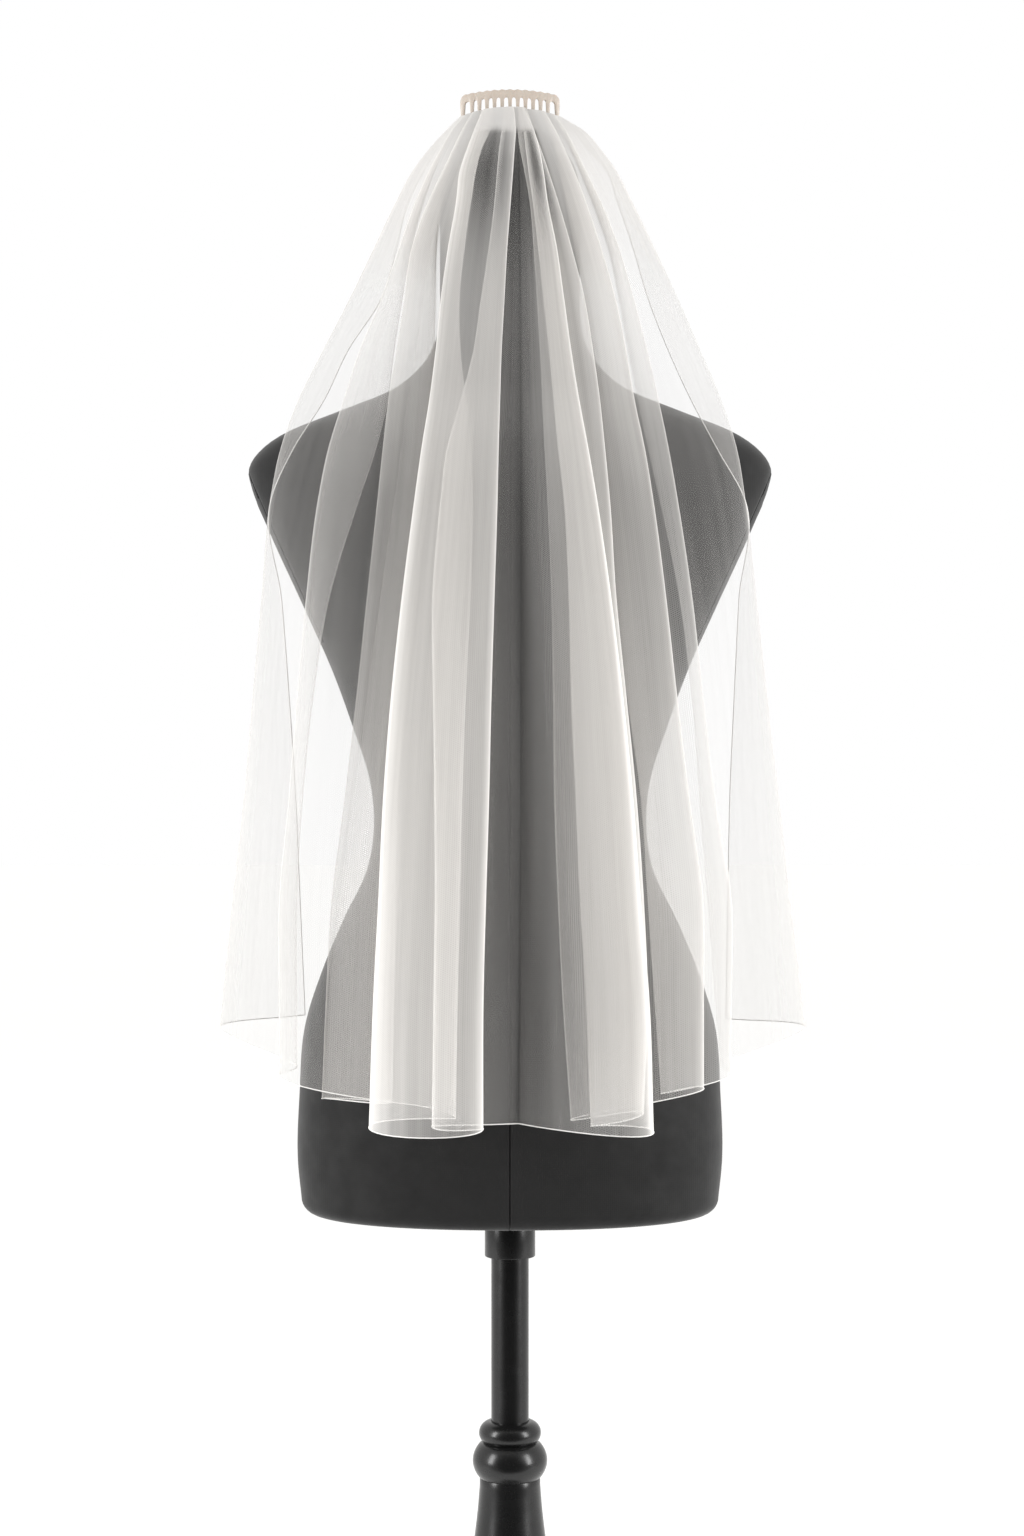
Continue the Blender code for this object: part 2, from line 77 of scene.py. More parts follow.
# %% Node helpers
class Finish:
    """A material's node graph, with short ways to add to it."""

    def __init__(self, name):
        self.material = bpy.data.materials.new(name)
        self.material.use_nodes = True
        self.nodes = self.material.node_tree.nodes
        self.shader = self.nodes["Principled BSDF"]
        self.output = self.nodes["Material Output"]

    def node(self, kind, **inputs):
        made = self.nodes.new(kind)
        for name, value in inputs.items():
            self.put(value, made.inputs[name.replace("_", " ")])
        return made

    def put(self, value, socket):
        if isinstance(value, bpy.types.NodeSocket):
            self.material.node_tree.links.new(value, socket)
        else:
            socket.default_value = value

    def sum(self, operation, first, second=0.0, third=0.0):
        made = self.nodes.new("ShaderNodeMath")
        made.operation = operation
        for socket, value in zip(made.inputs, (first, second, third)):
            self.put(value, socket)
        return made.outputs[0]

    def places(self, kind="Object"):
        return self.nodes.new("ShaderNodeTexCoord").outputs[kind]

    def noise(self, scale, detail=2.0, places=None, stretch=(1, 1, 1)):
        turn = self.node("ShaderNodeMapping", Vector=places or self.places(), Scale=stretch)
        return self.node("ShaderNodeTexNoise", Vector=turn.outputs[0], Scale=scale, Detail=detail).outputs["Fac"]

    def spread(self, value, low, high):
        made = self.node("ShaderNodeMapRange", Value=value, From_Min=0.3, From_Max=0.7, To_Min=low, To_Max=high)
        return made.outputs["Result"]

    def colours(self, value, dark, light):
        made = self.nodes.new("ShaderNodeMix")
        made.data_type = "RGBA"
        self.put(value, made.inputs["Factor"])
        self.put((*dark, 1), made.inputs[6])
        self.put((*light, 1), made.inputs[7])
        return made.outputs[2]

    def bump(self, height, strength, distance):
        made = self.node("ShaderNodeBump", Height=height, Strength=strength, Distance=distance)
        self.put(made.outputs[0], self.shader.inputs["Normal"])

    def weave(self, pitch, places=None):
        """Two crossed sets of threads, `pitch` metres apart, as a height from 0 to 1."""
        apart = self.node("ShaderNodeSeparateXYZ", Vector=places or self.places())
        flow = 2 * math.pi / pitch
        threads = [self.sum("SINE", self.sum("MULTIPLY", apart.outputs[i], flow)) for i in (0, 2)]
        return self.sum("MULTIPLY_ADD", self.sum("ADD", *threads), 0.25, 0.5)


# %% [markdown]
# The form is covered in black jersey: a dull knit with a fine weave, a little fuzz that lightens it where it turns
# away, and slight variation. The stand is black satin lacquer over turned wood. The comb is beige moulded plastic.

# %% Form cloth, lacquer and comb plastic
form_cloth = Finish("form_cloth")
mottle = form_cloth.noise(22, 4)
jersey = form_cloth.colours(mottle, (0.010, 0.010, 0.0104), (0.018, 0.0176, 0.0172))
form_cloth.put(jersey, form_cloth.shader.inputs["Base Color"])
form_cloth.put(form_cloth.spread(form_cloth.noise(60, 3), 0.66, 0.82), form_cloth.shader.inputs["Roughness"])
form_cloth.shader.inputs["Specular IOR Level"].default_value = 0.25
form_cloth.shader.inputs["Sheen Weight"].default_value = 0.22
form_cloth.shader.inputs["Sheen Roughness"].default_value = 0.4
form_cloth.bump(form_cloth.weave(0.0016), 0.15, 0.0002)

stand_lacquer = Finish("stand_lacquer")
grain = stand_lacquer.noise(30, 4, stretch=(1, 1, 0.12))
lacquer = stand_lacquer.colours(grain, (0.007, 0.007, 0.0072), (0.009, 0.009, 0.0088))
stand_lacquer.put(lacquer, stand_lacquer.shader.inputs["Base Color"])
stand_lacquer.put(stand_lacquer.spread(stand_lacquer.noise(90, 4), 0.22, 0.30), stand_lacquer.shader.inputs["Roughness"])
stand_lacquer.shader.inputs["Specular IOR Level"].default_value = 0.45
stand_lacquer.bump(stand_lacquer.noise(140, 2, stretch=(1, 1, 0.2)), 0.04, 0.0003)

comb_plastic = Finish("comb_plastic")
beige = comb_plastic.colours(comb_plastic.noise(180, 3), (0.57, 0.49, 0.42), (0.68, 0.60, 0.52))
comb_plastic.put(beige, comb_plastic.shader.inputs["Base Color"])
comb_plastic.put(comb_plastic.spread(comb_plastic.noise(400, 3), 0.32, 0.46), comb_plastic.shader.inputs["Roughness"])
comb_plastic.shader.inputs["Subsurface Weight"].default_value = 0.12
comb_plastic.shader.inputs["Subsurface Radius"].default_value = (0.003, 0.002, 0.0015)
comb_plastic.bump(comb_plastic.noise(900, 2), 0.1, 0.0001)
print("plain finishes:", [f.material.name for f in (form_cloth, stand_lacquer, comb_plastic)])

# %% [markdown]
# Tulle could be drawn as single threads, but a veil has millions of them. Instead the net's share of each spot
# decides how much light passes. Light that crosses a layer at a slant meets more thread, so the share grows as
# 1 - exp(-thread / slope), which is what makes the turned edges of the folds bright. Where the cloth is
# gathered, more thread lies in the same width, and each point of the sheet carries that as its "fullness".

# %% Tulle and edging
THREAD_SHARE = 0.128
NET_CELL = 0.0014
STEEPEST = 0.085
IVORY = (0.925, 0.908, 0.886)

tulle = Finish("tulle")
flat = tulle.places("UV")
apart = tulle.node("ShaderNodeSeparateXYZ", Vector=flat)
net = 0.0
for turn in (0, 60, 120):
    along = tulle.sum("MULTIPLY", apart.outputs[0], 2 * math.pi / NET_CELL * math.cos(math.radians(turn)))
    both = tulle.sum("MULTIPLY_ADD", apart.outputs[1], 2 * math.pi / NET_CELL * math.sin(math.radians(turn)), along)
    net = tulle.sum("ADD", tulle.sum("COSINE", both), net)
mesh_share = tulle.sum("MULTIPLY_ADD", net, -0.06, 1.0)
streaks = tulle.spread(tulle.noise(1.0, 3, flat, (130, 3.5, 1)), 0.86, 1.16)
full = tulle.node("ShaderNodeAttribute")
full.attribute_name = "fullness"
facing = tulle.node("ShaderNodeLayerWeight", Blend=0.5).outputs["Facing"]
slope = tulle.sum("MAXIMUM", tulle.sum("SUBTRACT", 1.0, facing), STEEPEST)
uneven = tulle.sum("MULTIPLY", mesh_share, streaks)
thread = tulle.sum("MULTIPLY", tulle.sum("MULTIPLY", full.outputs["Fac"], THREAD_SHARE), uneven)
passed = tulle.sum("EXPONENT", tulle.sum("MULTIPLY", tulle.sum("DIVIDE", thread, slope), -1.0))
cover = tulle.sum("SUBTRACT", 1.0, passed)
back = tulle.node("ShaderNodeBsdfDiffuse", Color=(*IVORY, 1), Roughness=0.5)
through = tulle.node("ShaderNodeBsdfTranslucent", Color=(*IVORY, 1))
cloth_light = tulle.node("ShaderNodeMixShader", Fac=0.3)
tulle.put(back.outputs[0], cloth_light.inputs[1])
tulle.put(through.outputs[0], cloth_light.inputs[2])
clear = tulle.node("ShaderNodeBsdfTransparent")
veil_mix = tulle.node("ShaderNodeMixShader", Fac=cover)
tulle.put(clear.outputs[0], veil_mix.inputs[1])
tulle.put(cloth_light.outputs[0], veil_mix.inputs[2])
tulle.put(veil_mix.outputs[0], tulle.output.inputs["Surface"])
tulle.nodes.remove(tulle.shader)

edging = Finish("edging")
stitches = edging.colours(edging.noise(600, 2), (0.90, 0.885, 0.86), (0.96, 0.945, 0.92))
edging.put(stitches, edging.shader.inputs["Base Color"])
edging.put(edging.spread(edging.noise(900, 2), 0.55, 0.7), edging.shader.inputs["Roughness"])
edging.shader.inputs["Sheen Weight"].default_value = 0.3
edging.bump(edging.noise(2600, 2), 0.4, 0.0002)
print("one flat layer hides about", THREAD_SHARE)

# %% [markdown]
# ## Curves, sections and turned pieces
#
# The same tables that shaped the CAD shape these finer pieces, so both agree. A smooth curve through a short table
# gives every size in between.


# %% Curve and mesh helpers
def smooth(places, values, at):
    """A smooth curve through (places, values), read at `at`. The places increase."""
    places, values, at = (np.asarray(a, float) for a in (places, values, at))
    step = np.diff(places)
    slope = np.diff(values) / step
    tangent = np.empty_like(values)
    tangent[0], tangent[-1] = slope[0], slope[-1]
    tangent[1:-1] = (slope[:-1] * step[1:] + slope[1:] * step[:-1]) / (step[:-1] + step[1:])
    i = np.clip(np.searchsorted(places, at) - 1, 0, len(step) - 1)
    t = np.clip((at - places[i]) / step[i], 0, 1)
    rise = step[i] * (tangent[i] * t * (1 - t) ** 2 - tangent[i + 1] * t * t * (1 - t))
    return values[i] + (values[i + 1] - values[i]) * t * t * (3 - 2 * t) + rise


def add_mesh(name, points, faces, finish=None):
    mesh = bpy.data.meshes.new(name)
    mesh.from_pydata([tuple(map(float, p)) for p in points], [], faces)
    mesh.update()
    mesh.shade_smooth()
    obj = bpy.data.objects.new(name, mesh)
    bpy.context.scene.collection.objects.link(obj)
    if finish:
        mesh.materials.append(finish.material)
    return obj


def set_modifiers(obj):
    """Turns an object's modifiers into plain mesh."""
    seen = obj.evaluated_get(bpy.context.evaluated_depsgraph_get())
    mesh = bpy.data.meshes.new_from_object(seen)
    obj.modifiers.clear()
    old, obj.data = obj.data, mesh
    bpy.data.meshes.remove(old)


def place(obj, slot, *nodes):
    """One of the object's own pieces: it rides on the root and stands for these CAD nodes."""
    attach(obj, "root")
    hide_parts(*nodes)
    print(obj.name, len(obj.data.polygons) if obj.type == "MESH" else "", "faces")


# %% [markdown]
# ## The dress form
#
# A form is a padded shell with jersey pulled over it and sewn in panels. The seams are the parts a viewer looks
# for: centre back, centre front, both sides and the neck. Each is a fine groove between two low ridges, pressed
# into the surface itself.

# %% Form tables
BODY_SECTIONS = (
    # height, half width, back, front, in mm
    (749, 166.4, 115, 104),
    (777, 169.2, 118, 107),
    (829, 168.0, 118, 108),
    (886, 163.2, 113, 106),
    (931, 148.8, 105, 102),
    (970, 132.4, 97, 98),
    (1010, 113.6, 88, 93),
    (1046, 108.4, 83, 90),
    (1082, 112.0, 84, 92),
    (1122, 124.8, 89, 100),
    (1170, 142.4, 95, 112),
    (1218, 164.0, 99, 118),
    (1283, 193.6, 99, 106),
    (1316, 206.8, 95, 88),
    (1327, 208.8, 92, 80),
    (1341, 201.6, 86, 71),
    (1357, 180.0, 79, 64),
    (1374, 137.6, 71, 60),
    (1390, 97.6, 64, 57.5),
    (1410, 72.0, 59, 56.5),
    (1434, 58.8, 56.5, 56),
    (1452, 56.0, 56, 56),
)
BODY_BOTTOM, BOTTOM_ROUNDING = 737 * MM, 12 * MM
BODY_SQUARENESS = 2.25
NECK_RADIUS, NECK_TOP = 56 * MM, 1549 * MM
NECK_SEAM = 1421.6 * MM
BUST_HEIGHT, BUST_RISE, BUST_APART, BUST_REACH = 1205 * MM, 15 * MM, 72 * MM, 52 * MM
SEAM_DEPTH, SEAM_RIDGE, SEAM_WIDTH = 1.3 * MM, 0.45 * MM, 0.75 * MM
GAP = 0.3 * MM


# %% Form shape
def body_angles():
    """Columns round the body, closer together at the four upright seams."""
    angles = list(np.linspace(0, 2 * math.pi, 144, endpoint=False))
    for quarter in range(4):
        seam = quarter * math.pi / 2
        angles += [seam + side * step for step in (0.0018, 0.0039, 0.0069, 0.0117) for side in (-1, 1)]
    return np.unique(np.round(np.mod(angles, 2 * math.pi), 5))


def seam_press(distance):
    """How far the cloth stands out at a distance from a seam: a groove with a low ridge on each side."""
    groove = -SEAM_DEPTH * np.exp(-((distance / SEAM_WIDTH) ** 2))
    ridge = SEAM_RIDGE * np.exp(-(((np.abs(distance) - 2.4 * SEAM_WIDTH) / SEAM_WIDTH) ** 2))
    return groove + ridge


def body_ring(height, angles, inset=0.0):
    """One section of the form, as rows of x, y and height."""
    table = np.array(BODY_SECTIONS) * MM
    at = min(max(height, table[0, 0]), table[-1, 0])
    half_width, back, front = (float(smooth(table[:, 0], table[:, c], at)) for c in (1, 2, 3))
    across, deep = np.cos(angles), np.sin(angles)
    blend = np.clip((height - 1.40) / 0.05, 0, 1)
    square = 2 / (BODY_SQUARENESS + (2 - BODY_SQUARENESS) * blend)
    depth = np.where(deep > 0, front, back)
    x = (half_width - inset) * np.copysign(np.abs(across) ** square, across)
    y = (depth - inset) * np.copysign(np.abs(deep) ** square, deep)
    if height > NECK_TOP:
        radius = math.sqrt(max(0.0, NECK_RADIUS**2 - (height - NECK_TOP) ** 2))
        x, y = radius * across, radius * deep
    swell = np.exp(-(((np.abs(x) - BUST_APART) / BUST_REACH) ** 2 + ((height - BUST_HEIGHT) / BUST_REACH) ** 2))
    y = y + np.where(deep > 0, BUST_RISE * deep * swell, 0)
    out = seam_press(x) * np.abs(deep) + seam_press(y) * np.abs(across) * (height < 1.30)
    if height > NECK_SEAM:
        out = np.zeros_like(x)
    out = out + seam_press(height - NECK_SEAM)
    size = np.hypot(x, y) + 1e-9
    return np.column_stack((x * (1 + out / size), y * (1 + out / size), np.full(len(x), height)))


def form_shape(name):
    angles = body_angles()
    rings = []
    for step in range(8):
        turn = math.pi / 2 * step / 8
        height = BODY_BOTTOM + BOTTOM_ROUNDING * (1 - math.cos(turn))
        rings.append(body_ring(height, angles, BOTTOM_ROUNDING * (1 - math.sin(turn))))
    heights = list(np.linspace(BODY_BOTTOM + BOTTOM_ROUNDING, NECK_TOP, 190))
    heights += list(NECK_SEAM + np.linspace(-4, 4, 17) * MM)
    heights += [NECK_TOP + NECK_RADIUS * math.sin(math.pi / 2 * s / 20) for s in range(1, 20)]
    rings += [body_ring(height, angles) for height in sorted(set(heights))]
    count = len(angles)
    points = np.concatenate(rings + [np.array([[0, 0, NECK_TOP + NECK_RADIUS]])])
    faces = [tuple(reversed(range(count)))]
    for row in range(len(rings) - 1):
        for c in range(count):
            a, b = row * count + c, row * count + (c + 1) % count
            faces.append((a, b, b + count, a + count))
    top = (len(rings) - 1) * count
    faces += [(top + c, top + (c + 1) % count, len(points) - 1) for c in range(count)]
    return add_mesh(name, points, faces, form_cloth)


# %% [markdown]
# The armholes are closed by flat oval plates covered in the same cloth. Cutting each plate and the body with the
# same sloping slab makes them fit, with a hair's gap at the seam.

# %% Armhole plates and body
PLATE_LEAN = math.radians(24.2)
PLATE_EDGE = (203.6 * MM, 1316 * MM)
PLATE_REACH = (1190 * MM, 1400 * MM)


def cut_with_slab(obj, side, inner, operation):
    """Keeps or removes what lies beyond the armhole's sloping plane."""
    low, high = PLATE_REACH[0] + inner, PLATE_REACH[1]
    points = []
    for offset in (inner, 0.2):
        for height in (low, high):
            x = PLATE_EDGE[0] + offset / math.cos(PLATE_LEAN) + (height - PLATE_EDGE[1]) * math.tan(PLATE_LEAN)
            points += [(side * x, -0.2, height), (side * x, 0.2, height)]
    faces = [(0, 1, 3, 2), (4, 6, 7, 5), (0, 4, 5, 1), (2, 3, 7, 6), (0, 2, 6, 4), (1, 5, 7, 3)]
    slab = add_mesh("slab", points, faces)
    shape = bmesh.new()
    shape.from_mesh(slab.data)
    bmesh.ops.recalc_face_normals(shape, faces=shape.faces)
    shape.to_mesh(slab.data)
    shape.free()
    cut = obj.modifiers.new("cut", "BOOLEAN")
    cut.operation = operation
    cut.object = slab
    set_modifiers(obj)
    bpy.data.objects.remove(slab, do_unlink=True)


body = form_shape("dress_form_body")
for side, name in ((-1, "left"), (1, "right")):
    cut_with_slab(body, side, 0.0, "DIFFERENCE")
    plate = form_shape(f"armhole_plate_{name}")
    cut_with_slab(plate, side, GAP, "INTERSECT")
    place(plate, "form_cloth", f"arm_plate_{name}")
place(body, "form_cloth", "form_body")

# %% [markdown]
# ## The stand
#
# Every piece of the stand is turned on a lathe, so its profile is the whole shape. Spinning the profile in 112 steps
# keeps the ball and ring round to the eye.

# %% Turned stand
COLLAR_RADIUS, COLLAR_BOTTOM = 20.2 * MM, 700 * MM
POLE_RADIUS, POLE_BOTTOM = 15 * MM, 480 * MM
RING_HEIGHT, RING_RADIUS, RING_OUTER = 559 * MM, 9.5 * MM, 24.8 * MM
BALL_HEIGHT, BALL_RADIUS, BALL_HALF_HEIGHT = 537 * MM, 29.8 * MM, 23.2 * MM
COLUMN_NECK = (24.2 * MM, 522 * MM)
COLUMN_PROFILE = (
    # radius, height, below the ball, in mm
    (24.2, 518), (25.6, 500), (28.4, 476), (33.0, 436), (38.5, 384), (43.0, 326),
    (45.5, 268), (44.0, 216), (37.0, 172), (30.0, 142), (27.5, 122),
)
FOOT_RING = (36.0 * MM, 104 * MM, 13 * MM)
FOOT_PROFILE = ((31.0, 88), (34.0, 66), (44.0, 50), (60.0, 42), (64.0, 34.3))
BASE_PROFILE = (
    # radius, height, from the middle of the base to its rim, in mm
    (66, 34), (110, 32), (142, 29), (150, 26), (156, 25), (166, 22), (172, 15), (172, 7), (168, 2), (164, 0),
)
TURNED_STEPS = 112


def arc(centre, radii, start, end, steps):
    """Points along an oval arc in a profile, by angle in degrees from straight out, upwards."""
    turns = np.radians(np.linspace(start, end, steps + 1))
    return [(centre[0] + radii[0] * math.cos(a), centre[1] + radii[1] * math.sin(a)) for a in turns]


def turned(name, profile, *nodes):
    edges = [(i, i + 1) for i in range(len(profile) - 1)]
    mesh = bpy.data.meshes.new(name)
    mesh.from_pydata([(radius, 0, height) for radius, height in profile], edges, [])
    obj = bpy.data.objects.new(name, mesh)
    bpy.context.scene.collection.objects.link(obj)
    turn = obj.modifiers.new("turn", "SCREW")
    turn.steps = turn.render_steps = TURNED_STEPS
    turn.use_merge_vertices = True
    turn.merge_threshold = 0.00002
    set_modifiers(obj)
    shape = bmesh.new()
    shape.from_mesh(obj.data)
    bmesh.ops.recalc_face_normals(shape, faces=shape.faces)
    shape.to_mesh(obj.data)
    shape.free()
    obj.data.shade_smooth()
    obj.data.set_sharp_from_angle(angle=math.radians(38))
    obj.data.materials.append(stand_lacquer.material)
    place(obj, "stand_lacquer", *nodes)
    return obj


collar_top, bore = BODY_BOTTOM - GAP, POLE_RADIUS + GAP
soft = [(COLLAR_RADIUS - MM, 0), (COLLAR_RADIUS - 0.3 * MM, -0.3 * MM), (COLLAR_RADIUS, -MM)]
collar = [(bore, collar_top)] + [(r, collar_top + h) for r, h in soft]
collar += [(r, COLLAR_BOTTOM - h) for r, h in reversed(soft)] + [(bore, COLLAR_BOTTOM), (bore, collar_top)]
turned("collar", collar, "stand_collar")
pole = [(0, collar_top), (POLE_RADIUS, collar_top), (POLE_RADIUS, POLE_BOTTOM), (0, POLE_BOTTOM)]
turned("pole", pole, "stand_pole")
column = [(0, POLE_BOTTOM - GAP), (bore, POLE_BOTTOM - GAP), (bore, RING_HEIGHT + RING_RADIUS)]
column += arc((RING_OUTER - RING_RADIUS, RING_HEIGHT), (RING_RADIUS, RING_RADIUS), 80, -50, 20)
column += arc((0, BALL_HEIGHT), (BALL_RADIUS, BALL_HALF_HEIGHT), 35, -37, 34)
column += [COLUMN_NECK]
heights = np.array(COLUMN_PROFILE)[::-1] * MM
column += [(float(smooth(heights[:, 1], heights[:, 0], h)), h) for h in np.linspace(heights[-1, 1], heights[0, 1], 56)]
column += arc((FOOT_RING[0] - FOOT_RING[2], FOOT_RING[1]), (FOOT_RING[2], FOOT_RING[2]), 60, -60, 18)
column += [(radius * MM, height * MM) for radius, height in FOOT_PROFILE]
column += [(0, column[-1][1])]
turned("turned_column", column, "stand_column")
base = [(0, BASE_PROFILE[0][1] * MM)] + [(radius * MM, height * MM) for radius, height in BASE_PROFILE]
turned("round_base", base + [(0, 0)], "stand_base")

# %% [markdown]
# ## The comb
#
# The comb is moulded in one piece: a spine that follows the head, with thirteen teeth that taper and curl. It is
# drawn flat in cells from tooth to tooth, bent point by point, and thickened. A small bevel rounds its edges.

# %% Comb
COMB_WIDTH, COMB_BEND, COMB_TOP, COMB_DROOP = 82 * MM, 88 * MM, 1633.3 * MM, 3 * MM
TEETH, TOOTH_PITCH, TOOTH_LENGTH = 13, 6.2 * MM, 34.2 * MM
TOOTH_WIDTH, END_TOOTH_WIDTH, TIP_WIDTH = 3.2 * MM, 4.0 * MM, 1.5 * MM
SPINE_DEPTH, SCALLOP, SHOULDER_ROUNDING = 6.2 * MM, 0.7 * MM, 5.0 * MM
TOOTH_STRAIGHT, TOOTH_CURL = 10.2 * MM, 18 * MM


def comb_place(along, down):
    turn = along / COMB_BEND
    top = COMB_TOP - COMB_DROOP * (2 * along / COMB_WIDTH) ** 2
    bent = max(0.0, down - TOOTH_STRAIGHT)
    forward = TOOTH_CURL * (1 - math.cos(bent / TOOTH_CURL))
    drop = down - bent + TOOTH_CURL * math.sin(bent / TOOTH_CURL)
    return (COMB_BEND * math.sin(turn), COMB_BEND * (1 - math.cos(turn)) + forward, top - drop)


def tooth_half_width(tooth, share):
    root = END_TOOTH_WIDTH if tooth in (0, TEETH - 1) else TOOTH_WIDTH
    return (root + (TIP_WIDTH - root) * share**0.8) / 2


def spine_top(along):
    share = abs(along) / (COMB_WIDTH / 2)
    corner = max(0.0, abs(along) - (COMB_WIDTH / 2 - SHOULDER_ROUNDING)) / SHOULDER_ROUNDING
    wave = SCALLOP * (0.5 - 0.5 * math.cos(2 * math.pi * along / TOOTH_PITCH)) * (1 - share**8)
    return wave + SHOULDER_ROUNDING * (1 - math.sqrt(max(0.0, 1 - corner**2)))


comb_points, comb_faces, comb_index = [], [], {}


def comb_point(along, down):
    key = (round(along * 1e6), round(down * 1e6))
    if key not in comb_index:
        comb_index[key] = len(comb_points)
        comb_points.append(comb_place(along, down))
    return comb_index[key]


centres = [(tooth - (TEETH - 1) / 2) * TOOTH_PITCH for tooth in range(TEETH)]
centres[-1] = COMB_WIDTH / 2 - END_TOOTH_WIDTH / 2
centres[0] = -centres[-1]
root = SPINE_DEPTH + TOOTH_WIDTH * 0.7
for tooth in range(TEETH - 1):
    left, right = centres[tooth], centres[tooth + 1]
    gap_left, gap_right = left + tooth_half_width(tooth, 0), right - tooth_half_width(tooth + 1, 0)
    middle, reach = (gap_left + gap_right) / 2, (gap_right - gap_left) / 2
    outline = [comb_point(a, spine_top(a)) for a in np.linspace(left, right, 9)] + [comb_point(right, root)]
    for turn in np.linspace(0, math.pi, 13):
        outline.append(comb_point(middle + reach * math.cos(turn), root - (root - SPINE_DEPTH) * math.sin(turn)))
    comb_faces.append(outline + [comb_point(left, root)])
for tooth, side in ((0, -1), (TEETH - 1, 1)):
    centre = centres[tooth]
    edge = centre + side * tooth_half_width(tooth, 0)
    outline = [comb_point(a, spine_top(a)) for a in np.linspace(centre, edge, 9)]
    outline += [comb_point(edge, root), comb_point(centre, root)]
    comb_faces.append(outline if side > 0 else outline[::-1])
STEPS = 14
for tooth, centre in enumerate(centres):
    for step in range(STEPS):
        wide, narrow = tooth_half_width(tooth, step / STEPS), tooth_half_width(tooth, (step + 1) / STEPS)
        above, below = (root + (TOOTH_LENGTH - root) * s / STEPS for s in (step, step + 1))
        row = [comb_point(centre - wide, above), comb_point(centre, above), comb_point(centre + wide, above)]
        row = row if step == 0 else [row[0], row[2]]
        comb_faces.append(row + [comb_point(centre + narrow, below), comb_point(centre - narrow, below)])
comb = add_mesh("comb_moulding", comb_points, comb_faces, comb_plastic)
thick = comb.modifiers.new("thickness", "SOLIDIFY")
thick.thickness = 2.2 * MM
thick.offset = 0
rounded = comb.modifiers.new("rounded edges", "BEVEL")
rounded.width = 0.35 * MM
rounded.segments = 2
rounded.limit_method = "ANGLE"
rounded.angle_limit = math.radians(50)
set_modifiers(comb)
comb.data.set_sharp_from_angle(angle=math.radians(40))
place(comb, "comb_plastic", "comb")
